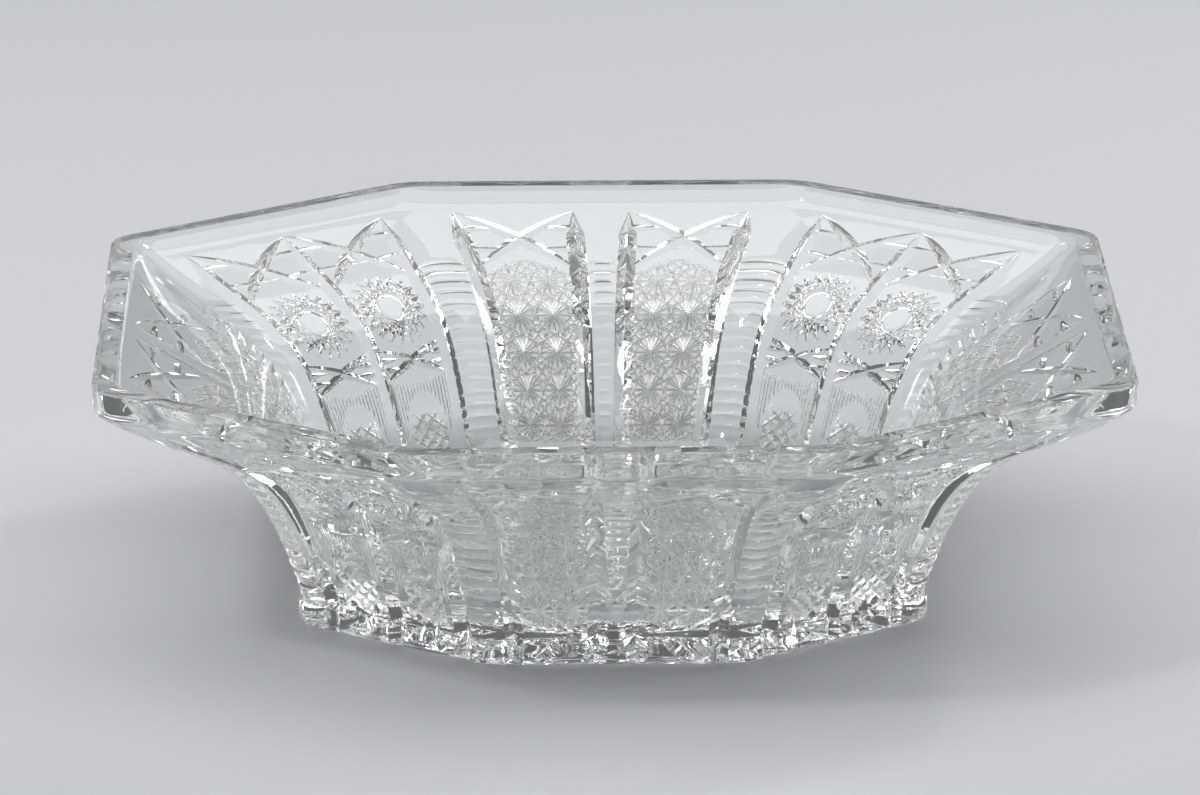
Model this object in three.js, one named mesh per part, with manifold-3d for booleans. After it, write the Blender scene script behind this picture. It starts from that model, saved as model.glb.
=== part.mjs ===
// Cut-crystal fruit bowl: one piece of clear glass, an oblong octagon that flares from a small foot
// to a wide lip with a flat polished top. Long V-shaped mitres run down the outside and bound panels,
// each with two crossed leaf cuts and level notches at its top. Under them, the main sides' panels
// have rows of cut stars and the slanted sides' panels one roundel each.
// Millimetres, +Z up. The bowl stands on z = 0 with its centre on the Z axis.

import * as THREE from 'three';
import { mergeVertices } from 'three/addons/utils/BufferGeometryUtils.js';
import Module from 'manifold-3d';

// Rim
const rimWidth = 300;
const rimDepth = 270;
const frontEdge = 123; // front and back edges of the octagon, corner to corner
const sideEdge = 152; // left and right edges, corner to corner
const cornerCut = 7; // how far a corner's rounding reaches along its two edges
const lipHeight = 7.5; // upright face of the lip
const rimFlat = 6.5; // width of the polished top
const rimEase = 0.8; // eased edges of the polished top

// Wall, floor and foot
const height = 82;
const wall = 8;
const floorThickness = 11;
const floorFillet = 12;
const footWidth = 184;
const footHeight = 8;
const footRounding = 3;
const footStep = 1; // how far the foot stands proud of the wall above it

// The wall's S-curve: its two handles, as shares of the way from the foot to the lip, across and up
const flareHandle = new THREE.Vector2(0.486, 0.642);
const wallHandle = new THREE.Vector2(0.278, 0.84);

// Cuts, measured along the rim and down the outside of the wall from the lip's lower edge
const frontPanel = 39; // between the two mitres of a panel on the front and back
const frontFlute = 18; // clear strip between the two panels there
const sidePanel = 44; // panels of the left and right
const sideFlute = 11; // clear strip between them
const slantPanel = 37; // panels of the slanted sides, which share their middle mitre
const slantShift = 3; // how far that mitre stands off the middle, towards the front or back
const mitreTop = 6;
const mitrePoint = 10; // length over which a mitre tapers to its point
const mitreWidth = 6;
const mitreDepth = 2.6;
const leafDrop = 27; // how far down the wall the leaf cuts reach
const leafWidth = 5;
const leafDepth = 1.8;
const notchDrops = [7.5, 17]; // level notches beside the mitres, below the mitres' tops
const notchInset = 8.5; // from a mitre to the middle of a notch
const notchLength = 9;
const notchWidth = 2.6;
const notchDepth = 0.9;

// Stars of the main sides, in rows, and roundels of the slanted sides
const starTop = 36.9; // centres of the first row
const starAcross = 14.8; // along the rim, so rows narrow towards the foot
const starDown = 11.5;
const starRays = 6;
const starRadius = 4.3;
const starHeart = 1.9; // radius between two rays
const starDepth = 0.8;
const roundelDown = 42;
const roundelRays = 8;
const roundelRadius = 12.2;
const roundelHeart = 9;
const roundelDepth = 0.9;

// Fineness of the faceted surface
const cornerSteps = 3;
const flareRows = 3; // rows of facets between the lip and the stars
const insideRows = 6;
const filletSteps = 3;
const mitreSteps = 8;
const cutClear = 1; // how far a mitre's cutter stands out of the glass
const starClear = 0.6; // how far a star's cutter does

const glass = new THREE.MeshStandardMaterial({
  color: 0xe8eef0,
  roughness: 0.04,
  metalness: 0,
  transparent: true,
  opacity: 0.35,
});

const rimHalf = rimWidth / 2;

// Corners of the rim's octagon, anticlockwise from the right-hand side's back corner
function rimCorners() {
  const x = rimHalf;
  const y = rimDepth / 2;
  const quarter = [new THREE.Vector2(x, sideEdge / 2), new THREE.Vector2(frontEdge / 2, y)];
  const turned = quarter.map((corner) => new THREE.Vector2(-corner.x, corner.y)).reverse();
  const back = [...quarter, ...turned];
  return [...back, ...back.map((corner) => corner.clone().negate())];
}

// The eight straight sides, a slanted one first: middle, half length, direction, panels and their pattern
function octagonSides(corners) {
  const layouts = [
    { pattern: roundel, panel: slantPanel, flute: 0, shift: slantShift },
    { pattern: starRowsOf, panel: frontPanel, flute: frontFlute, shift: 0 },
    { pattern: roundel, panel: slantPanel, flute: 0, shift: -slantShift },
    { pattern: starRowsOf, panel: sidePanel, flute: sideFlute, shift: 0 },
  ];
  return corners.map((corner, i) => {
    const next = corners[(i + 1) % corners.length];
    const along = next.clone().sub(corner);
    return {
      middle: corner.clone().add(next).divideScalar(2),
      half: along.length() / 2,
      along: along.normalize(),
      ...layouts[i % layouts.length],
    };
  });
}

// The rim's outline with rounded corners, as points of one horizontal section
function rimOutline(sides) {
  const outline = new THREE.Path();
  const end = (side, sign) => side.middle.clone().addScaledVector(side.along, sign * (side.half - cornerCut));
  outline.moveTo(...end(sides[0], -1));
  sides.forEach((side, i) => {
    const next = sides[(i + 1) % sides.length];
    const corner = side.middle.clone().addScaledVector(side.along, side.half);
    outline.lineTo(...end(side, 1));
    outline.quadraticCurveTo(...corner, ...end(next, -1));
  });
  return outline.getPoints(cornerSteps).slice(0, -1);
}

// Closed solid through rings of points that run anticlockwise about the way they follow each other
function loft(rings) {
  const count = rings[0].length;
  const last = (rings.length - 1) * count;
  const index = [];
  for (let r = 0; r < last; r += count) {
    for (let i = 0; i < count; i++) {
      const a = r + i;
      const b = r + ((i + 1) % count);
      index.push(a, b, b + count, a, b + count, a + count);
    }
  }
  for (let i = 1; i < count - 1; i++) {
    index.push(0, i + 1, i, last, last + i, last + i + 1);
  }
  const geometry = new THREE.BufferGeometry();
  geometry.setFromPoints(rings.flat());
  geometry.setIndex(index);
  return geometry;
}

// Outside of the wall, from the lip's lower edge down to the foot (x is the half width there)
const lipEdge = new THREE.Vector2(rimHalf, height - lipHeight);
const wallFoot = new THREE.Vector2(footWidth / 2 - footStep, footHeight);
const handle = (shares) => lipEdge.clone().sub(wallFoot).multiply(shares).add(wallFoot);
const outside = new THREE.CubicBezierCurve(lipEdge, handle(flareHandle), handle(wallHandle), wallFoot);
const wallLength = outside.getLength();

// Rows of stars that fit between the leaves and the foot
const starRows = Math.floor((wallLength - starTop + starDown / 2) / starDown);

// Outside of the wall in rows of facets, from the foot up, so that each row of stars lies on one row
function outsideRows() {
  const starEdge = starTop - starDown / 2;
  const stops = [wallLength];
  for (let row = starRows; row > 0; row--) {
    stops.push(starEdge + row * starDown);
  }
  for (let row = flareRows; row >= 0; row--) {
    stops.push((starEdge * row) / flareRows);
  }
  return stops.map((stop) => outside.getPointAt(stop / wallLength));
}

// Direction from the outside of the wall into the glass
function inward(share) {
  const run = outside.getTangentAt(share);
  return new THREE.Vector2(run.y, -run.x);
}

// Inside of the wall: one wall thickness in, from the rim's inner edge to the floor's fillet
function insideCurve() {
  const floorShare = 1 - (floorThickness + floorFillet - footHeight) / wallLength;
  const rimInner = new THREE.Vector2(rimHalf - rimFlat - rimEase, height - rimEase);
  return new THREE.CubicBezierCurve(
    rimInner,
    handle(flareHandle).addScaledVector(inward(0), wall),
    handle(wallHandle).addScaledVector(inward(1), wall),
    outside.getPointAt(floorShare).addScaledVector(inward(floorShare), wall),
  );
}

// Fillet that brings the inside of the wall round into the flat floor
function filletCurve(inside) {
  const run = inside.getTangent(1);
  const start = inside.getPoint(1);
  const drop = start.y - floorThickness;
  const meeting = new THREE.Vector2(start.x - (run.x / run.y) * drop, floorThickness);
  const end = new THREE.Vector2(meeting.x - drop, floorThickness);
  return new THREE.QuadraticBezierCurve(start, meeting, end);
}

// Half section of the glass, from the foot's underside up the outside and down the inside
function bowlProfile() {
  const inside = insideCurve();
  const foot = footWidth / 2;
  const footEdge = new THREE.EllipseCurve(
    foot - footRounding, footRounding, footRounding, footRounding, -Math.PI / 2, 0,
  );
  return [
    ...footEdge.getPoints(filletSteps),
    new THREE.Vector2(foot, footHeight - footStep),
    ...outsideRows(),
    new THREE.Vector2(rimHalf, height - rimEase),
    new THREE.Vector2(rimHalf - rimEase, height),
    new THREE.Vector2(rimHalf - rimFlat, height),
    ...inside.getSpacedPoints(insideRows),
    ...filletCurve(inside).getPoints(filletSteps).slice(1),
  ];
}

// The uncut bowl: every horizontal section is the rim's outline made smaller
function blankBowl(outline) {
  return loft(bowlProfile().map((at) => {
    const share = at.x / rimHalf;
    return outline.map((p) => new THREE.Vector3(p.x * share, p.y * share, at.y));
  }));
}

// A place on the outside of a side: its point and its directions along the rim, down and out
function outsideAt(side, offset, distance) {
  const share = Math.min(distance / wallLength, 1);
  const at = outside.getPointAt(share);
  const run = outside.getTangentAt(share);
  if (distance > wallLength) {
    at.set(footWidth / 2, footHeight + wallLength - distance);
    run.set(0, -1);
  }
  const spot = side.middle.clone().addScaledVector(side.along, offset).divideScalar(rimHalf);
  const along = new THREE.Vector3(side.along.x, side.along.y, 0);
  const down = new THREE.Vector3(spot.x * run.x, spot.y * run.x, run.y).normalize();
  return {
    point: new THREE.Vector3(spot.x * at.x, spot.y * at.x, at.y),
    along,
    out: down.cross(along).normalize(),
  };
}

// A mitre's cutter: a V that starts as a point under the lip and runs out through the foot
function mitre(side, offset) {
  const slope = mitreWidth / 2 / mitreDepth;
  const reach = wallLength + footHeight + cutClear - mitreTop;
  const rings = [];
  for (let k = 0; k <= mitreSteps; k++) {
    const distance = (reach * k) / mitreSteps;
    const bite = mitreDepth * Math.min(distance / mitrePoint, 1);
    const { point, along, out } = outsideAt(side, offset, mitreTop + distance);
    const half = (bite + cutClear) * slope;
    const brink = point.clone().addScaledVector(out, cutClear);
    rings.push([
      point.clone().addScaledVector(out, -bite),
      brink.clone().addScaledVector(along, half),
      brink.clone().addScaledVector(along, -half),
    ]);
  }
  return loft(rings);
}

// A lens-shaped cutter: a long octahedron between two places on a side, sunk to half its thickness
function lens(side, [fromOffset, fromDown], [toOffset, toDown], width, depth) {
  const from = outsideAt(side, fromOffset, fromDown).point;
  const to = outsideAt(side, toOffset, toDown).point;
  const { point, out } = outsideAt(side, (fromOffset + toOffset) / 2, (fromDown + toDown) / 2);
  const length = to.clone().sub(from).divideScalar(2);
  const across = out.clone().cross(length).setLength(width / 2);
  const sink = length.clone().cross(across).setLength(depth);
  const place = new THREE.Matrix4().makeBasis(length, across, sink).setPosition(point);
  return new THREE.OctahedronGeometry(1).applyMatrix4(place);
}

// The two crossed leaves of a panel, from the top of each mitre to the side of the other
function leaves(side, [left, right]) {
  const low = mitreTop + leafDrop;
  return [
    lens(side, [left, mitreTop], [right, low], leafWidth, leafDepth),
    lens(side, [right, mitreTop], [left, low], leafWidth, leafDepth),
  ];
}

// Level notches beside a panel's two mitres
function notches(side, [left, right]) {
  return notchDrops.flatMap((drop) => {
    const down = mitreTop + drop;
    const share = outside.getPointAt(down / wallLength).x / rimHalf;
    const half = notchLength / 2 / share;
    const middles = [left + notchInset / share, right - notchInset / share];
    return middles.map((middle) => (
      lens(side, [middle - half, down], [middle + half, down], notchWidth, notchDepth)
    ));
  });
}

// A star's cutter: a shallow cone with a star-shaped base, its tip in the glass
function star(side, offset, distance, rays, radius, heart, depth) {
  const { point, along, out } = outsideAt(side, offset, distance);
  const sink = depth + starClear;
  const cone = new THREE.ConeGeometry((radius * sink) / depth, sink, rays * 2);
  const corners = cone.attributes.position;
  for (let i = 0; i < corners.count; i++) {
    const step = Math.round((Math.atan2(corners.getX(i), corners.getZ(i)) * rays) / Math.PI);
    const share = step % 2 ? heart / radius : 1;
    corners.setXYZ(i, corners.getX(i) * share, corners.getY(i) + sink / 2, corners.getZ(i) * share);
  }
  cone.deleteAttribute('normal');
  cone.deleteAttribute('uv');
  const into = out.clone().negate();
  const place = new THREE.Matrix4().makeBasis(along, into, along.clone().cross(into));
  return mergeVertices(cone).applyMatrix4(place.setPosition(point.addScaledVector(out, starClear)));
}

// The one roundel of a slanted side's panel
function roundel(side, [left, right]) {
  const middle = (left + right) / 2;
  return [star(side, middle, roundelDown, roundelRays, roundelRadius, roundelHeart, roundelDepth)];
}

// The stars of a main side's panel
function starRowsOf(side, [left, right]) {
  const columns = Math.floor((right - left) / starAcross);
  const first = (left + right - (columns - 1) * starAcross) / 2;
  const stars = [];
  for (let row = 0; row < starRows; row++) {
    for (let column = 0; column < columns; column++) {
      const offset = first + column * starAcross;
      stars.push(star(side, offset, starTop + row * starDown, starRays, starRadius, starHeart, starDepth));
    }
  }
  return stars;
}

// Panels of a side: the offsets of the two mitres that bound each one
function panelEdges(side) {
  const near = side.flute / 2;
  const far = near + side.panel;
  return [[side.shift - far, side.shift - near], [side.shift + near, side.shift + far]];
}

// All the cutters of a side; a slanted side's two panels share the mitre between them
function sideCutters(side) {
  const panels = panelEdges(side);
  const offsets = [...new Set(panels.flat())];
  const mitres = offsets.map((offset) => mitre(side, offset));
  const patterns = panels.flatMap((edges) => [
    ...leaves(side, edges),
    ...notches(side, edges),
    ...side.pattern(side, edges),
  ]);
  return [...mitres, ...patterns];
}

const wasm = await Module();
wasm.setup();

// A closed geometry as a solid that can be cut
function solid(geometry) {
  geometry.deleteAttribute('normal');
  geometry.deleteAttribute('uv');
  const { attributes, index } = mergeVertices(geometry);
  const mesh = new wasm.Mesh({
    numProp: 3,
    vertProperties: attributes.position.array,
    triVerts: new Uint32Array(index.array),
  });
  return new wasm.Manifold(mesh);
}

const sides = octagonSides(rimCorners());
const blank = solid(blankBowl(rimOutline(sides)));
const cutGlass = sides.flatMap(sideCutters).reduce((left, cutter) => left.subtract(solid(cutter)), blank);
const { vertProperties, triVerts } = cutGlass.getMesh();

const geometry = new THREE.BufferGeometry();
geometry.setAttribute('position', new THREE.BufferAttribute(vertProperties, 3));
geometry.setIndex(new THREE.BufferAttribute(triVerts, 1));
geometry.computeVertexNormals();

const bowl = new THREE.Mesh(geometry, glass);
bowl.name = 'bowl';

const fruitBowl = new THREE.Group();
fruitBowl.add(bowl);

export default fruitBowl;
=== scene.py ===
# %% [markdown]
# # A cut-crystal fruit bowl
# The bowl is one piece of clear lead crystal: an oblong octagon that flares from a small foot to a wide
# lip with a flat polished top. A glass cutter held the blank against turning stone wheels, so every
# line on it is a V-shaped groove on the outside, and the inside is smooth. The lesson follows the
# workshop: first the blank is raised, then it is cut with one kind of groove after another, and last it
# is lit.

# %% Load the measured bowl
import math
import bpy
from mathutils import Euler, Matrix, Vector
from mathutils.geometry import interpolate_bezier


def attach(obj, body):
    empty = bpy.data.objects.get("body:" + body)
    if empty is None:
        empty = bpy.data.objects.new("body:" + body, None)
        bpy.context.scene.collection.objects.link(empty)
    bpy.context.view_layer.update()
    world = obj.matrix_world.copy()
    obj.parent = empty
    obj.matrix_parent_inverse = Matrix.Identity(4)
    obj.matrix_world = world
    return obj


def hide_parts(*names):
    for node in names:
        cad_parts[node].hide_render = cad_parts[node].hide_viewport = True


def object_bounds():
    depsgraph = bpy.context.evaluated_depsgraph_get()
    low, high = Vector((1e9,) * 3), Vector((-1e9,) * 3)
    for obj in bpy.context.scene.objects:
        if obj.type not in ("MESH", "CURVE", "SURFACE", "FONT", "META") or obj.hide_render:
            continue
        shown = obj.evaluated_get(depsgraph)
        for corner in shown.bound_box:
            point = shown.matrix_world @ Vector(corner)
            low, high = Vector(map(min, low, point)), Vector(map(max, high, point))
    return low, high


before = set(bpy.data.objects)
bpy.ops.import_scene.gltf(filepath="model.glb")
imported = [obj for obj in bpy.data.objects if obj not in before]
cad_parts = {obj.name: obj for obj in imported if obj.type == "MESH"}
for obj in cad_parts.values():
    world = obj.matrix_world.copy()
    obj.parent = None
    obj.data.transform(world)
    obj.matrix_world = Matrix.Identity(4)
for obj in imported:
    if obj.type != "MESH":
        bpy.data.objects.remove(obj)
cad_low, cad_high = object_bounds()
print("measured bowl, metres:", [round(v, 4) for v in cad_high - cad_low])

# %% [markdown]
# ## Camera
# The photograph was taken with a long lens from a little above the lip, so the rim's edges hardly
# converge. The camera could be moved by eye until the outlines meet. Here its distance, height and lens
# come from the rim's eight corners and the foot's front corners, so the render can be laid over the
# photograph.

# %% Camera at the photograph's angle
MM = 0.001
lens = 228.9
sensor = 36
camera_distance = 2259 * MM
camera_elevation = math.radians(18)
camera_azimuth = math.radians(1.2)
camera_target = Vector((-3.0, 0, 54.5)) * MM

away = Vector((0, -math.cos(camera_elevation), math.sin(camera_elevation))) * camera_distance
turn = Matrix.Rotation(-camera_azimuth, 3, "Z")
bpy.ops.object.camera_add(
    location=turn @ (camera_target + away),
    rotation=Euler((math.pi / 2 - camera_elevation, 0, -camera_azimuth)),
)
camera = bpy.context.object
camera.name = "camera"
camera.data.lens = lens
camera.data.sensor_width = sensor
bpy.context.scene.camera = camera
print("camera at", [round(v, 3) for v in camera.location])

# %% [markdown]
# ## Outline of the rim
# Seen from above the rim is an octagon with long left and right edges, and its corners are rounded by
# the wheel. A circle primitive could be squashed to it, but its points have to lie on straight edges
# and round corners, so the outline is worked out first. Every lower section of the bowl is the same
# outline made smaller.

# %% Rim outline
rim_half = cad_high.x
rim_deep = cad_high.y
front_edge = 123 * MM
side_edge = 152 * MM
corner_cut = 7 * MM
corner_steps = 6
edge_steps = 5


def even(steps):
    """Shares of a way from 0 to 1, in even steps."""
    return [k / steps for k in range(steps + 1)]


def rounding(before, corner, after, steps):
    """A quadratic curve that rounds the corner between two points."""
    return [before * (1 - t) ** 2 + corner * 2 * t * (1 - t) + after * t ** 2 for t in even(steps)]


def octagon_corners():
    quarter = [Vector((rim_half, side_edge / 2)), Vector((front_edge / 2, rim_deep))]
    back = quarter + [Vector((-corner.x, corner.y)) for corner in reversed(quarter)]
    return back + [-corner for corner in back]


def rounded_corner(before, corner, after):
    start = corner + (before - corner).normalized() * corner_cut
    end = corner + (after - corner).normalized() * corner_cut
    return rounding(start, corner, end, corner_steps)


corners = octagon_corners()
count = len(corners)
rounds = [rounded_corner(corners[i - 1], corners[i], corners[(i + 1) % count]) for i in range(count)]
outline = []
for i in range(count):
    start, end = rounds[i][-1], rounds[(i + 1) % count][0]
    outline += rounds[i]
    outline += [start.lerp(end, t) for t in even(edge_steps)[1:-1]]
print("rim outline:", len(outline), "points")

# %% [markdown]
# ## Outside of the wall
# The wall rises steeply from the foot and then sweeps out under the lip in one long curve, as blown
# glass does when it is opened out over a mould. The section could be traced point by point; one Bezier
# curve with two handles gives the same sweep without bumps. Points on it are half widths and heights.

# %% Outside of the half section
height = cad_high.z
lip_height = 7.5 * MM
foot_half = 92 * MM
foot_height = 8 * MM
foot_step = 1 * MM
flare_share = Vector((0.486, 0.642))
wall_share = Vector((0.278, 0.84))
curve_points = 800
fine_step = 0.25 * MM


def spaced(line, step):
    """The same line with points a step apart, or a little less."""
    runs = [(b - a).length for a, b in zip(line, line[1:])]
    pieces = math.ceil(sum(runs) / step)
    gap = sum(runs) / pieces
    points, gone, k = [line[0]], 0.0, 0
    for n in range(1, pieces):
        while gone + runs[k] < n * gap:
            gone += runs[k]
            k += 1
        points.append(line[k].lerp(line[k + 1], (n * gap - gone) / runs[k]))
    return points + [line[-1]]


lip_edge = Vector((rim_half, height - lip_height))
wall_foot = Vector((foot_half - foot_step, foot_height))
flare_handle = wall_foot + (lip_edge - wall_foot) * flare_share
wall_handle = wall_foot + (lip_edge - wall_foot) * wall_share
wall_curve = interpolate_bezier(lip_edge, flare_handle, wall_handle, wall_foot, curve_points)
wall_line = spaced(wall_curve, fine_step)
wall_length = sum((b - a).length for a, b in zip(wall_line, wall_line[1:]))
print("outside of the wall:", round(wall_length / MM, 1), "mm long")

# %% [markdown]
# ## Inside of the wall
# The inside keeps a wall's thickness from the outside and rounds into a heavy flat floor. A Solidify
# modifier could give the thickness, but it would thicken the floor and the lip by the same amount, so
# the inside has a curve of its own, moved inwards from the outside's handles.

# %% Inside of the half section
wall = 8 * MM
rim_flat = 6.5 * MM
rim_ease = 0.8 * MM
floor_thickness = 11 * MM
floor_fillet = 12 * MM


def inward(run):
    return Vector((run.y, -run.x)).normalized()


floor_top = floor_thickness + floor_fillet
meet = next(k for k, point in enumerate(wall_line) if point.y < floor_top)
inner_start = Vector((rim_half - rim_flat - rim_ease, height - rim_ease))
inner_end = wall_line[meet] + inward(wall_line[meet + 1] - wall_line[meet]) * wall
inner_line = interpolate_bezier(
    inner_start,
    flare_handle + inward(wall_line[1] - wall_line[0]) * wall,
    wall_handle + inward(wall_line[-1] - wall_line[-2]) * wall,
    inner_end,
    curve_points,
)
slope = inner_line[-1] - inner_line[-2]
drop = inner_end.y - floor_thickness
floor_corner = Vector((inner_end.x - slope.x / slope.y * drop, floor_thickness))
floor_edge = floor_corner - Vector((drop, 0))
print("floor of the bowl:", round(2 * floor_edge.x / MM, 1), "mm wide where it is flat")

# %% [markdown]
# ## Half section of the glass
# Glass has no sharp edge where a hand touches it: the foot, the lip and the rim are all eased by the
# polishing wheel. The outside, the rim and the inside are joined here into one line with a small curve
# at each corner. A Bevel modifier on the finished bowl would also round the cuts, which have to stay
# crisp.

# %% Half section
foot_rounding = 3 * MM
ledge_rounding = 1.5 * MM
lip_round = 2.2 * MM
lip_start = 0.4
wall_row = 3 * MM
round_steps = 4
ease_steps = 3
fillet_steps = 6

foot_corner = Vector((foot_half, 0))
foot_toe = foot_corner - Vector((foot_rounding, 0))
section = rounding(foot_toe, foot_corner, foot_corner + Vector((0, foot_rounding)), round_steps)
ledge = Vector((foot_half, foot_height))
section += rounding(ledge - Vector((0, ledge_rounding)), ledge, wall_foot, ease_steps)[:-1]
outer_rows = spaced(list(reversed(wall_line)), wall_row)
section += outer_rows[:-1]
lip_under = outer_rows[-2].lerp(lip_edge, lip_start)
section += rounding(lip_under, lip_edge, lip_edge + Vector((0, lip_round)), round_steps)
rim_outer = Vector((rim_half, height))
ease_down, ease_in = Vector((0, rim_ease)), Vector((rim_ease, 0))
section += rounding(rim_outer - ease_down, rim_outer, rim_outer - ease_in, ease_steps)
rim_inner = Vector((rim_half - rim_flat - rim_ease / 2, height))
section += rounding(rim_inner + ease_in / 2, rim_inner, inner_start, ease_steps)[:-1]
section += spaced(inner_line, wall_row)[:-1]
section += rounding(inner_end, floor_corner, floor_edge, fillet_steps)
print("half section:", len(section), "points")

# %% [markdown]
# ## The blank
# The blank is raised the way a column is: a filled outline is the foot's underside, and it is extruded
# up a little and resized, again and again, along the half section, over the rim and down the inside to
# the floor. The last face is the floor. A lathe would be quicker, but it gives round sections.


# %% Raise the blank
def raise_blank():
    bpy.ops.object.select_all(action="DESELECT")
    bpy.ops.mesh.primitive_circle_add(vertices=len(outline), radius=rim_half, fill_type="NGON")
    blank = bpy.context.object
    blank.name = "crystal_bowl"
    by_angle = sorted(blank.data.vertices, key=lambda v: math.atan2(v.co.y, v.co.x))
    places = sorted(outline, key=lambda p: math.atan2(p.y, p.x))
    for vertex, place in zip(by_angle, places):
        vertex.co = (place * section[0].x / rim_half).to_3d()
    bpy.ops.object.mode_set(mode="EDIT")
    bpy.ops.mesh.select_all(action="SELECT")
    for low, high in zip(section, section[1:]):
        share = high.x / low.x
        bpy.ops.mesh.extrude_region_move(TRANSFORM_OT_translate={"value": (0, 0, high.y - low.y)})
        bpy.ops.transform.resize(value=(share, share, 1), center_override=(0, 0, 0))
    bpy.ops.mesh.select_all(action="SELECT")
    bpy.ops.mesh.normals_make_consistent(inside=False)
    bpy.ops.object.mode_set(mode="OBJECT")
    return blank


bowl = raise_blank()
top = max(vertex.co.z for vertex in bowl.data.vertices)
print("blank:", len(bowl.data.polygons), "faces, height", round(top / MM, 2), "mm")

# %% [markdown]
# ## Where a cut lies
# A cutter marks the blank with a pen before cutting: lines down the wall and lines round it. Places on
# the outside are given the same two ways, as a distance along the rim from the middle of a side and a
# distance down the wall from the lip's lower edge. Because every section is the rim made smaller, lines
# down the wall draw together towards the foot. A projected drawing would stretch the pattern under the
# lip.


# %% Marking out the outside
def wall_at(down):
    """Half width, height and direction of the section, a distance down the wall."""
    if down > wall_length:
        return Vector((foot_half, foot_height - (down - wall_length))), Vector((0, -1))
    place = down / wall_length * (len(wall_line) - 1)
    k = min(int(place), len(wall_line) - 2)
    run = wall_line[k + 1] - wall_line[k]
    return wall_line[k] + run * (place - k), run.normalized()


def mark(spot, along, down):
    """Point on the outside and the direction out of the glass, below a spot of the rim."""
    at, run = wall_at(down)
    share = spot / rim_half
    downhill = Vector((share.x * run.x, share.y * run.x, run.y))
    out = downhill.cross(along.to_3d()).normalized()
    return Vector((share.x * at.x, share.y * at.x, at.y)), out


def section_share(down):
    """How much smaller than the rim the section is, a distance down the wall."""
    return wall_at(down)[0].x / rim_half


def side_marks(side, places):
    """Marks on one side for places given as (distance along the rim, distance down the wall)."""
    return [mark(side["middle"] + side["along"] * u, side["along"], down) for u, down in places]


sides = []
for i, corner in enumerate(corners):
    ahead = corners[(i + 1) % count] - corner
    sides.append({"middle": corner + ahead / 2, "along": ahead.normalized(), "half": ahead.length / 2})
print("sides of the rim, mm:", [round(2 * side["half"] / MM, 1) for side in sides])

# %% [markdown]
# ## One groove
# A stone wheel with a V-shaped edge leaves a groove that starts as a point, swells and runs out to a
# point again. Its negative is a thin three-sided bar that follows the wall and stands a little out of
# the glass. A bevelled curve could draw such a bar, but it would not keep its edge square to the wall,
# so its points are set here. Each kind of groove is collected in one tool whose bars don't meet inside
# the glass.

# %% Bars of a tool
stand_out = 0.5 * MM
skim = 0.01 * MM
bar_sides = 3


class Tool:
    """Bars of one kind of groove, as the points and faces of one mesh."""

    def __init__(self, name, finish):
        self.name, self.finish, self.points, self.faces = name, finish, [], []

    def groove(self, marks, width, depth, shares):
        """A V-shaped bar along marks on the wall; shares give its depth there."""
        first = len(self.points)
        for k, ((point, out), share) in enumerate(zip(marks, shares)):
            before, after = marks[max(k - 1, 0)][0], marks[min(k + 1, len(marks) - 1)][0]
            across = out.cross(after - before).normalized()
            bite = depth * share - skim
            half = (bite + stand_out) * width / 2 / depth
            brink = point + out * stand_out
            self.points += [point - out * bite, brink + across * half, brink - across * half]
        last = len(self.points) - bar_sides
        for ring in range(first, last, bar_sides):
            for j in range(bar_sides):
                a, b = ring + j, ring + (j + 1) % bar_sides
                self.faces.append((a, b, b + bar_sides, a + bar_sides))
        self.faces += [(first, first + 2, first + 1), (last, last + 1, last + 2)]


def swell(steps):
    """Depth shares of a cut that a wheel makes when it is lowered and lifted again."""
    return [4 * t * (1 - t) for t in even(steps)]


def between(start, end, shares):
    """Places on the straight line from one place to another."""
    return [(start[0] + (end[0] - start[0]) * t, start[1] + (end[1] - start[1]) * t) for t in shares]


print("depth shares of a short cut:", swell(4))

# %% [markdown]
# ## Cutting
# On the wheel the glass is ground away under the bar. In Blender a boolean modifier takes the tool off
# the bowl. Sculpting or a bump map could fake the grooves, but only real faces bend the light as cut
# glass does. The boolean also carries the tool's finish over to the new faces.


# %% Take a tool off the bowl
def take_off(tool):
    mesh = bpy.data.meshes.new(tool.name)
    mesh.from_pydata(tool.points, [], tool.faces)
    mesh.materials.append(tool.finish)
    cutter = bpy.data.objects.new(tool.name, mesh)
    bpy.context.collection.objects.link(cutter)
    bpy.ops.object.select_all(action="DESELECT")
    bpy.context.view_layer.objects.active = bowl
    bowl.select_set(True)
    cut = bowl.modifiers.new(tool.name, "BOOLEAN")
    cut.operation = "DIFFERENCE"
    cut.solver = "MANIFOLD"
    cut.object = cutter
    cut.material_mode = "TRANSFER"
    bpy.ops.object.modifier_apply(modifier=cut.name)
    bpy.data.objects.remove(cutter)
    bpy.data.meshes.remove(mesh)
    print(f"{tool.name}: {len(tool.faces)} tool faces, bowl now {len(bowl.data.polygons)} faces")


# %% [markdown]
# ## Colours and nodes
# Colours are written as they look on a screen, and Blender's shaders count in linear light, so one
# function turns one into the other. Another adds a node with its settings and links, which keeps each
# material short.


# %% Colours and nodes
def colour(hex_value):
    """An sRGB hex colour as linear RGBA."""
    channels = [int(hex_value[i:i + 2], 16) / 255 for i in (1, 3, 5)]
    linear = [c / 12.92 if c <= 0.04045 else ((c + 0.055) / 1.055) ** 2.4 for c in channels]
    return (*linear, 1.0)


def add(tree, kind, settings=None, links=None):
    """One node with its settings and with links into its sockets."""
    node = tree.nodes.new(kind)
    for name, value in (settings or {}).items():
        if name in node.inputs:
            node.inputs[name].default_value = value
        else:
            setattr(node, name, value)
    for name, source in (links or {}).items():
        tree.links.new(source, node.inputs[name])
    return node


def new_material(name):
    """An empty node material and its node tree."""
    material = bpy.data.materials.new(name)
    material.use_nodes = True
    material.node_tree.nodes.clear()
    return material, material.node_tree


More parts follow.
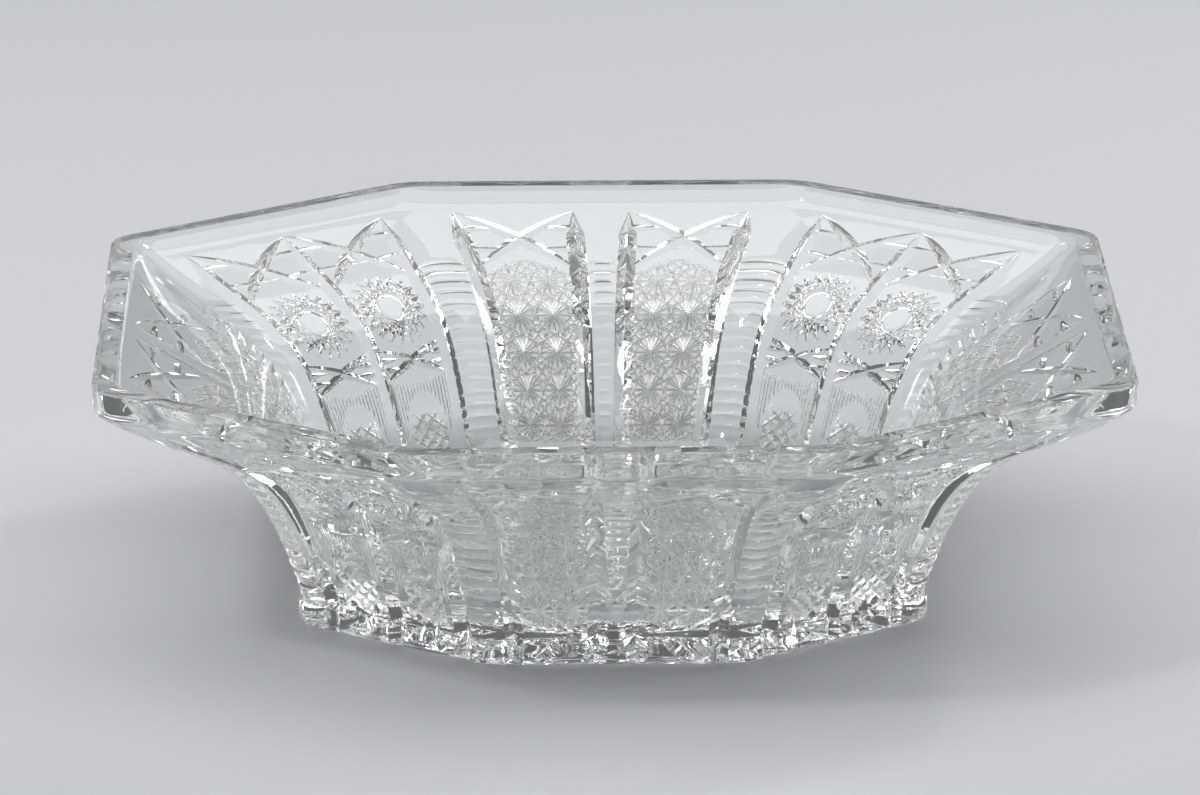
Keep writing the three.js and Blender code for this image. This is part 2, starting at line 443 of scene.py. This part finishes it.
crystal_white = "#FBFDFC"
print("white crystal in linear light:", [round(c, 3) for c in colour(crystal_white)])

# %% [markdown]
# ## Lead crystal
# Lead crystal is clear, heavy and bright: its lead oxide lifts the index of refraction to about 1.55,
# so a cut throws light back from its far face. The inside and most cuts were polished, which leaves a
# faint ripple from the felt wheel. The stars, combs and nets are left as the stone ground them, frosted,
# so they look soft and grey-white. One function makes both finishes; they differ in roughness and in the
# size of their pattern. The grit is drawn coarser than real grit, so that it still shows in the render.

# %% Polished and ground crystal
crystal_index = 1.55
ripple_size, ripple_height = 9 * MM, 0.02 * MM
grit_size, grit_height = 0.35 * MM, 0.01 * MM
pattern_detail = 2.0
polished_roughness = (0.0, 0.03)
ground_roughness = (0.28, 0.42)


def crystal(name, roughness, pattern_size, bump_height):
    """Clear lead crystal whose roughness wanders between two values over a pattern of a real size."""
    material, tree = new_material(name)
    low, high = roughness
    place = add(tree, "ShaderNodeTexCoord").outputs["Object"]
    grain = {"Scale": 1 / pattern_size, "Detail": pattern_detail}
    pattern = add(tree, "ShaderNodeTexNoise", grain, {"Vector": place}).outputs["Fac"]
    rough = add(tree, "ShaderNodeMapRange", {"To Min": low, "To Max": high}, {"Value": pattern})
    bump = add(tree, "ShaderNodeBump", {"Strength": 1.0, "Distance": bump_height}, {"Height": pattern})
    glass = add(
        tree, "ShaderNodeBsdfPrincipled",
        {"Base Color": colour(crystal_white), "IOR": crystal_index, "Transmission Weight": 1.0},
        {"Roughness": rough.outputs["Result"], "Normal": bump.outputs["Normal"]},
    )
    add(tree, "ShaderNodeOutputMaterial", None, {"Surface": glass.outputs["BSDF"]})
    return material


polished = crystal("polished_lead_crystal", polished_roughness, ripple_size, ripple_height)
ground = crystal("ground_lead_crystal", ground_roughness, grit_size, grit_height)
bowl.data.materials.append(polished)
bowl.data.materials.append(ground)
print("finishes:", [material.name for material in bowl.data.materials])

# %% [markdown]
# ## Panels
# The pattern is laid out in panels: two with a clear strip between them on each main side, and two that
# share a mitre on each slanted side. They could be drawn one by one; the layout repeats on every fourth
# side, so a short list of widths gives them all.

# %% Panels
front_panel, front_strip = 39 * MM, 18 * MM
side_panel, side_strip = 44 * MM, 11 * MM
slant_panel, slant_shift = 37 * MM, 3 * MM
layouts = [
    ("roundel", slant_panel, 0, slant_shift),
    ("star", front_panel, front_strip, 0),
    ("roundel", slant_panel, 0, -slant_shift),
    ("star", side_panel, side_strip, 0),
]
panels = {"roundel": [], "star": []}
for i, side in enumerate(sides):
    kind, width, strip, shift = layouts[i % len(layouts)]
    near, far = strip / 2, strip / 2 + width
    side["strip"] = strip
    side["mitres"] = sorted({shift - far, shift - near, shift + near, shift + far})
    for middle in (shift - (near + far) / 2, shift + (near + far) / 2):
        panels[kind].append({"side": side, "middle": middle, "half": width / 2})
every_panel = panels["roundel"] + panels["star"]
print("panels:", len(panels["roundel"]), "with roundels,", len(panels["star"]), "with stars")

# %% [markdown]
# ## Long mitres
# The deepest cuts bound the panels. Each runs from a point under the lip down the whole wall and out
# through the foot, and because the heavy bowl was held by hand, its edges wander a little. A straight
# bar would look cast, so the bar's depth sways along its length.

# %% Long mitres
mitre_top = 6 * MM
mitre_point = 10 * MM
mitre_width = 5.8 * MM
mitre_depth = 2.4 * MM
mitre_steps = 48
mitre_overrun = 10 * MM
wave = 0.02
wave_length = 9 * MM
mitres = Tool("long_mitres", polished)
for side in sides:
    for u in side["mitres"]:
        path = between((u, mitre_top), (u, wall_length + mitre_overrun), even(mitre_steps))
        shares = []
        for _, down in path:
            sway = 1 - wave / 2 + wave / 2 * math.sin(2 * math.pi * down / wave_length + u / MM)
            shares.append(min(1, (down - mitre_top) / mitre_point) * sway)
        mitres.groove(side_marks(side, path), mitre_width, mitre_depth, shares)
take_off(mitres)

# %% [markdown]
# ## Crossed leaves
# Above each panel two broad leaf-shaped cuts cross, each from the point of one mitre to the side of the
# other. Under a roundel the same motif comes again, smaller. Two leaves that cross in one tool would
# overlap, which a boolean can't read, so the right-hand leaves and the left-hand leaves are two tools.

# %% Crossed leaves
leaf_drop = 27 * MM
leaf_width = 4.4 * MM
leaf_depth = 1.5 * MM
leaf_bow = 1.5 * MM
leaf_steps = 10
small_leaf_top = 54 * MM
small_leaf_drop = 11 * MM
small_leaf_scale = 0.6
hands = [(1, "right"), (-1, "left")]


def leaf(tool, panel, hand, top, drop, scale=1.0):
    """A leaf from one mitre's side to the other's; hand is 1 or -1."""
    path = []
    for t, bend in zip(even(leaf_steps), swell(leaf_steps)):
        u = panel["middle"] + hand * panel["half"] * (2 * t - 1)
        path.append((u, top + drop * t - leaf_bow * scale * bend))
    tool.groove(side_marks(panel["side"], path), leaf_width * scale, leaf_depth * scale, swell(leaf_steps))


for hand, name in hands:
    leaves = Tool(f"{name}_leaves", polished)
    for panel in every_panel:
        leaf(leaves, panel, hand, mitre_top, leaf_drop)
    for panel in panels["roundel"]:
        leaf(leaves, panel, hand, small_leaf_top, small_leaf_drop, small_leaf_scale)
    take_off(leaves)

# %% [markdown]
# ## Notches
# Short level notches fill the gaps beside the leaves. A notch is widest at the mitre, where the wheel
# came in, and runs out to a point towards the panel's middle, so its depth falls off along a curve
# instead of swelling.

# %% Notches
notch_width = 3.0 * MM
notch_depth = 1.2 * MM
notch_steps = 7
notch_rows = [(13.5 * MM, 13 * MM), (23 * MM, 16 * MM)]
fan_rows = [(57.5 * MM, 9 * MM), (60.5 * MM, 10 * MM)]
fan_scale = 0.65


def notch(tool, panel, hand, row, scale=1.0):
    """A level notch; a row is its distance down the wall and its length."""
    down, length = row
    edge = panel["middle"] + hand * panel["half"]
    path = between((edge, down), (edge - hand * length / section_share(down), down), even(notch_steps))
    shares = [1 - t ** 2 for t in even(notch_steps)]
    tool.groove(side_marks(panel["side"], path), notch_width * scale, notch_depth * scale, shares)


for hand, name in hands:
    notches = Tool(f"{name}_notches", polished)
    for panel in every_panel:
        for row in notch_rows:
            notch(notches, panel, hand, row)
    for panel in panels["roundel"]:
        for row in fan_rows:
            notch(notches, panel, hand, row, fan_scale)
    take_off(notches)

# %% [markdown]
# ## Fine straight cuts
# The fine patterns are made of straight cuts of even depth that end in short tapers where the wheel is
# lifted. A cutter starts and stops them by eye at the edge of the pattern. Here a long line is walked
# in small steps and the stretch inside the pattern is kept.

# %% Fine straight cuts
line_width = 1.0 * MM
line_depth = 0.5 * MM
line_taper = 2 * MM
line_sections = 5 * MM
samples_per_step = 60
reach_steps = 10
least_samples = 3


def clipped(panel, start, step, inside):
    """Both ends of the stretch of a line that lies inside a pattern, or None."""
    kept = []
    for k in range(-reach_steps * samples_per_step, reach_steps * samples_per_step + 1):
        place = (start[0] + step[0] * k / samples_per_step, start[1] + step[1] * k / samples_per_step)
        if inside(panel, *place):
            kept.append(place)
    return (kept[0], kept[-1]) if len(kept) > least_samples else None


def straight_cut(tool, side, ends, width=line_width, depth=line_depth, taper=line_taper):
    """A groove of even depth that tapers near both its ends."""
    start, end = side_marks(side, ends)
    length = (end[0] - start[0]).length
    steps = max(2, math.ceil(length / line_sections))
    inner = [t for t in even(steps) if taper < t * length < length - taper]
    stops = sorted({0.0, min(taper / length, 0.5), max(1 - taper / length, 0.5), 1.0, *inner})
    shares = [min(1, t * length / taper, (1 - t) * length / taper) for t in stops]
    tool.groove(side_marks(side, between(*ends, stops)), width, depth, shares)


print("a fine cut is", line_width / MM, "mm wide and", line_depth / MM, "mm deep")

# %% [markdown]
# ## Star lattice
# The panels of the main sides are filled with the best-known pattern of cut crystal: sixteen-pointed
# stars in rows. It looks intricate but is only eight sets of parallel lines, level, upright, slanting
# and in between, that all cross at the stars' centres. One set at a time is cut, so no two bars of a
# tool meet.

# %% Star lattice
star_across = 14.8 * MM
star_down = 11.5 * MM
star_first = 36.9 * MM
lattice_top, lattice_shoulder = 27.3 * MM, 10 * MM
lattice_bottom, lattice_sag = 90 * MM, 5 * MM
lattice_side = 0.97
first_column = 0.5
lines_in_set = range(-14, 24)
line_sets = [(0, 1), (1, 0), (1, 1), (1, -1), (1, 2), (1, -2), (2, 1), (2, -1)]


def in_lattice(panel, u, down):
    x = (u - panel["middle"]) / panel["half"]
    low, high = lattice_top + lattice_shoulder * x * x, lattice_bottom - lattice_sag * x * x
    return abs(x) < lattice_side and low < down < high


for a, b in line_sets:
    lines = Tool(f"star_lines_{a}_{b}", ground)
    for panel in panels["star"]:
        for c in lines_in_set:
            i, j = a * c / (a * a + b * b), b * c / (a * a + b * b)
            start = (panel["middle"] + (i + first_column) * star_across, star_first + j * star_down)
            ends = clipped(panel, start, (b * star_across, -a * star_down), in_lattice)
            if ends:
                straight_cut(lines, panel["side"], ends)
    take_off(lines)

# %% [markdown]
# ## Rays of the roundels
# Each slanted panel holds a round star: twenty straight cuts that all touch one small circle, so that
# their crossings make rings of points round a clear middle. Cuts on opposite sides of the circle are
# parallel and never meet, so each pair of them, on all panels, is one tool.

# %% Rays of the roundels
roundel_down = 42 * MM
roundel_radius = 12.2 * MM
roundel_eye = 4.8 * MM
chords = 20
chord_width = 1.5 * MM
chord_depth = 0.75 * MM
chord_half = math.sqrt(roundel_radius ** 2 - roundel_eye ** 2)


def roundel_place(panel, spot):
    return panel["middle"] + spot.x / section_share(roundel_down), roundel_down + spot.y


for k in range(chords // 2):
    angle = 2 * math.pi * k / chords
    way = Vector((math.cos(angle), math.sin(angle)))
    reach = Vector((-way.y, way.x)) * chord_half
    rays = Tool(f"roundel_rays_{k}", polished)
    for panel in panels["roundel"]:
        for touch in (way * roundel_eye, -way * roundel_eye):
            ends = [roundel_place(panel, touch - reach), roundel_place(panel, touch + reach)]
            straight_cut(rays, panel["side"], ends, chord_width, chord_depth)
    take_off(rays)

# %% [markdown]
# ## Eyes and points of the roundels
# The clear middle is a shallow dimple, polished with the edge of a flat wheel, and the outer points of
# the star are deepened with a short cut each. A sphere could scoop the dimple, but on the curved wall
# its edge would not be round, so a flat-bottomed dish is laid out with the same marks as the grooves.

# %% Eyes and points of the roundels
eye_sides = 28
eye_depth = 0.7 * MM
eye_slope = 1.3 * MM
point_length = 3.2 * MM
point_width = 1.5 * MM
point_depth = 0.8 * MM
point_steps = 4


def dish(tool, panel, down, spread, slope, depth, edges):
    """A dish; spread is its half width and height at the surface, slope how much less they are below."""
    first = len(tool.points)
    for lift, wider in ((-depth, -slope), (stand_out, slope * stand_out / depth)):
        for k in range(edges):
            angle = 2 * math.pi * k / edges
            across = (spread[0] + wider) * math.cos(angle) / section_share(down)
            fall = (spread[1] + wider) * math.sin(angle)
            point, out = side_marks(panel["side"], [(panel["middle"] + across, down + fall)])[0]
            tool.points.append(point + out * lift)
    for k in range(edges):
        a, b = first + k, first + (k + 1) % edges
        tool.faces.append((b, a, a + edges, b + edges))
    tool.faces.append(tuple(range(first, first + edges)))
    tool.faces.append(tuple(reversed(range(first + edges, first + 2 * edges))))


eyes = Tool("roundel_eyes", polished)
star_points = Tool("roundel_points", polished)
for panel in panels["roundel"]:
    dish(eyes, panel, roundel_down, (roundel_eye, roundel_eye), eye_slope, eye_depth, eye_sides)
    for k in range(chords):
        angle = 2 * math.pi * (k + 0.5) / chords
        way = Vector((math.cos(angle), math.sin(angle)))
        inner = roundel_place(panel, way * (roundel_radius - point_length))
        path = between(inner, roundel_place(panel, way * roundel_radius), even(point_steps))
        star_points.groove(side_marks(panel["side"], path), point_width, point_depth, swell(point_steps))
take_off(eyes)
take_off(star_points)

# %% [markdown]
# ## Combs and arches
# Under each small leaf fine upright lines, a comb, were ground close together, so that the glass looks
# frosted there. They stop at a shallow polished arch. A frosted patch could be painted, but the comb's
# teeth show.

# %% Combs and arches
arch_top, arch_bottom = 69 * MM, 97 * MM
arch_share = 0.62
arch_depth = 0.55 * MM
arch_slope = 3 * MM
arch_sides = 36
arch_gap = 0.3 * MM
comb_pitch = 1.15 * MM
comb_width = 0.95 * MM
comb_depth = 0.32 * MM
comb_taper = 1.5 * MM
comb_top, comb_sag, comb_bottom = 65 * MM, 4 * MM, 84 * MM
shortest_tooth = 2 * MM
arch_middle, arch_half = (arch_top + arch_bottom) / 2, (arch_bottom - arch_top) / 2


def arch_edge(x):
    """How far down the wall the arch's edge lies, at a share of the panel's half width."""
    return arch_middle - arch_half * math.sqrt(max(0.0, 1 - (x / arch_share) ** 2))


combs = Tool("combs", ground)
arches = Tool("arches", polished)
for panel in panels["roundel"]:
    share = section_share(comb_top)
    half = panel["half"] - mitre_width / 2 / share
    teeth = int(2 * half * share / comb_pitch)
    for t in even(teeth):
        u = half * (2 * t - 1)
        x = u / panel["half"]
        tip, end = comb_top - comb_sag * x * x, min(arch_edge(x) - arch_gap, comb_bottom)
        if end - tip > shortest_tooth:
            ends = [(panel["middle"] + u, tip), (panel["middle"] + u, end)]
            straight_cut(combs, panel["side"], ends, comb_width, comb_depth, comb_taper)
    spread = (panel["half"] * arch_share * section_share(arch_middle), arch_half)
    dish(arches, panel, arch_middle, spread, arch_slope, arch_depth, arch_sides)
take_off(combs)
take_off(arches)

# %% [markdown]
# ## Nets
# The foot of each arch is crossed by a net of slanting lines, deeper than the comb, whose diamonds
# sparkle. The lines that slant to the right and those that slant to the left are two tools, as with the
# leaves.

# %% Nets
net_pitch = 4.4 * MM
net_width = 2.2 * MM
net_depth = 1.1 * MM
net_top = 74 * MM
net_side = 0.95
net_inset = 2.5 * MM
net_foot_gap = 1.5 * MM
net_lines = range(-8, 9)
net_slant = net_pitch / section_share(net_top)


def in_net(panel, u, down):
    x = (u - panel["middle"]) / panel["half"]
    top = max(net_top, arch_edge(x) + net_inset)
    return abs(x) < arch_share * net_side and top < down < wall_length - net_foot_gap


for hand, name in hands:
    nets = Tool(f"{name}_nets", ground)
    for panel in panels["roundel"]:
        for k in net_lines:
            start = (panel["middle"] + k * net_slant, (net_top + wall_length) / 2)
            ends = clipped(panel, start, (hand * net_slant, net_pitch), in_net)
            if ends:
                straight_cut(nets, panel["side"], ends, net_width, net_depth)
    take_off(nets)

# %% [markdown]
# ## Ladders
# Between the panels stay clear strips, on the middle of the front and back and on all eight corners.
# Level notches step down them like the rungs of a ladder, and on the corners they make the bowl's
# outline slightly bumpy. A rung on a corner follows the rounded corner, so its marks come from the
# rim's own curve.

# %% Ladders
rung_pitch = 3.8 * MM
rung_width = 2.6 * MM
rung_depth = 0.4 * MM
corner_rung_depth = 0.42 * MM
rung_steps = 4
rung_shoulder = 0.8
rungs_top = 30 * MM
bend_clear = 2 * MM


def strip_rung(tool, side, down):
    """A rung on the clear strip in the middle of a side."""
    half = side["strip"] / 2 - mitre_width / 2 / section_share(down)
    path = between((-half, down), (half, down), even(rung_steps))
    tool.groove(side_marks(side, path), rung_width, rung_depth, swell(rung_steps))


def corner_rung(tool, i, down):
    """A rung round the corner between one side and the next."""
    side, after, bend = sides[i], sides[(i + 1) % count], rounds[(i + 1) % count]
    clear = mitre_width / 2 / section_share(down)
    straight = corner_cut + bend_clear
    marks = side_marks(side, [(side["mitres"][-1] + clear, down), (side["half"] - straight, down)])
    for n, spot in enumerate(bend):
        ahead = bend[min(n + 1, corner_steps)] - bend[max(n - 1, 0)]
        marks.append(mark(spot, ahead.normalized(), down))
    marks += side_marks(after, [(straight - after["half"], down), (after["mitres"][0] - clear, down)])
    shares = [0.0, rung_shoulder] + [1.0] * (len(marks) - 4) + [rung_shoulder, 0.0]
    tool.groove(marks, rung_width, corner_rung_depth, shares)


rungs = Tool("ladders", polished)
for k in range(int((wall_length - rungs_top) / rung_pitch)):
    down = rungs_top + k * rung_pitch
    for i, side in enumerate(sides):
        corner_rung(rungs, i, down)
        if side["strip"] == front_strip:
            strip_rung(rungs, side, down)
take_off(rungs)

# %% [markdown]
# ## Star under the foot
# The underside of such a bowl is cut with one large star, whose rays run from the centre towards the
# foot's edge and are deepest near that edge. Seen through the thick foot from the side, its many faces
# make the foot sparkle. The rays are grooves like all the others, on a flat face.

# %% Star under the foot
foot_rays = 32
foot_ray_width = 6.5 * MM
foot_ray_depth = 1.7 * MM
foot_ray_shares = [0, 0.16, 0.32, 0.48, 0.64, 0.8, 0.95, 0.8, 0]
foot_star_start = 8 * MM
foot_star_margin = 2 * MM


def foot_reach(way):
    """How far the foot's flat face reaches from its middle in one direction."""
    reaches = []
    for side in sides:
        normal = Vector((side["along"].y, -side["along"].x))
        if way.dot(normal) > 0:
            reaches.append(side["middle"].dot(normal) / way.dot(normal))
    return min(reaches) * foot_toe.x / rim_half


foot_star = Tool("foot_star", polished)
for k in range(foot_rays):
    angle = 2 * math.pi * (k + 0.5) / foot_rays
    way = Vector((math.cos(angle), math.sin(angle)))
    run = foot_reach(way) - foot_star_margin - foot_star_start
    stops = [foot_star_start + run * t for t in even(len(foot_ray_shares) - 1)]
    marks = [((way * stop).to_3d(), Vector((0, 0, -1))) for stop in stops]
    foot_star.groove(marks, foot_ray_width, foot_ray_depth, foot_ray_shares)
take_off(foot_star)

# %% [markdown]
# ## Finish the bowl
# Cut glass keeps its crisp edges, while the wall between the cuts is one smooth curve. Flat shading
# would show every face of the wall, and smooth shading would blur the cuts. Smooth shading by angle
# gives both: edges sharper than the limit stay hard. The bowl then takes the measured solid's place.

# %% Shade and hand the bowl over
crisp_edge = math.radians(22)
bpy.ops.object.select_all(action="DESELECT")
bpy.context.view_layer.objects.active = bowl
bowl.select_set(True)
bpy.ops.object.shade_smooth_by_angle(angle=crisp_edge)
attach(bowl, "root")
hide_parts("bowl")
bowl.data.calc_loop_triangles()
ground_faces = sum(bowl.data.materials[face.material_index] == ground for face in bowl.data.polygons)
print("bowl triangles:", len(bowl.data.loop_triangles), "and faces left ground:", ground_faces)

# %% [markdown]
# ## Floor
# The bowl stands on a wide sheet of pale paper. The sheet lies a hair's breadth under the foot: two
# surfaces at exactly the same height would shade each other, and real glass touches a table in a few
# points only.

# %% Floor
floor_gap = 0.3 * MM
floor_size = 12
paper_roughness = 0.7
floor_material, tree = new_material("pale_paper")
paper_settings = {"Base Color": colour("#C8CACD"), "Roughness": paper_roughness}
paper = add(tree, "ShaderNodeBsdfPrincipled", paper_settings)
add(tree, "ShaderNodeOutputMaterial", None, {"Surface": paper.outputs["BSDF"]})
bpy.ops.object.select_all(action="DESELECT")
bpy.ops.mesh.primitive_plane_add(size=floor_size, location=(0, 0, -floor_gap))
floor = bpy.context.object
floor.name = "floor"
floor.data.materials.append(floor_material)
print("floor:", floor_size, "m square")

# %% [markdown]
# ## Light
# Clear glass shows what is around it, so the room is kept dim and grey and the light comes from one
# wide soft lamp overhead. Two small lamps high up and two low ones at the sides add the bright glints
# that make cut glass sparkle. The low ones could stand anywhere beside the bowl; they stand where none
# of the smooth walls mirrors them to the camera as a white square.

# %% Lamps and room
bowl_middle = (0, 0, 0.05)
room_strength = 0.14


def lamp(name, place, aim, size, power):
    bpy.ops.object.light_add(type="AREA", location=place)
    light = bpy.context.object
    light.name = name
    light.data.shape = "RECTANGLE"
    light.data.size, light.data.size_y = size
    light.data.energy = power
    light.rotation_euler = (Vector(aim) - Vector(place)).to_track_quat("-Z", "Y").to_euler()
    print(name, "of", power, "W")


softbox_size, softbox_power = (2.6, 1.8), 32
key_size, key_power = (0.2, 0.2), 4
glint_size, glint_power = (0.3, 0.4), 3
lamp("ceiling_softbox", (0, 0.2, 1.8), (0, 0.2, 0), softbox_size, softbox_power)
lamp("left_key", (-0.9, -0.5, 1.3), bowl_middle, key_size, key_power)
lamp("right_key", (1.0, 0.9, 1.2), bowl_middle, key_size, key_power)
lamp("left_glint", (-1.2, 0.45, 0.5), bowl_middle, glint_size, glint_power)
lamp("right_glint", (1.2, 0.45, 0.5), bowl_middle, glint_size, glint_power)

world = bpy.data.worlds.new("grey_room")
world.use_nodes = True
world.node_tree.nodes.clear()
room_settings = {"Color": colour("#EEF0F2"), "Strength": room_strength}
room = add(world.node_tree, "ShaderNodeBackground", room_settings)
add(world.node_tree, "ShaderNodeOutputWorld", None, {"Surface": room.outputs["Background"]})
bpy.context.scene.world = world

# %% [markdown]
# ## Long light paths
# Inside cut glass a ray is thrown from face to face dozens of times before it leaves. Blender gives up
# after twelve, which would leave black blocks in the mitres and the foot, so the paths are made longer.

# %% Long light paths
glass_bounces = 40
mirror_bounces = 20
scene = bpy.context.scene
scene.view_settings.view_transform = "Standard"
scene.cycles.max_bounces = glass_bounces
scene.cycles.transmission_bounces = glass_bounces
scene.cycles.glossy_bounces = mirror_bounces
print("light paths of up to", glass_bounces, "bounces")
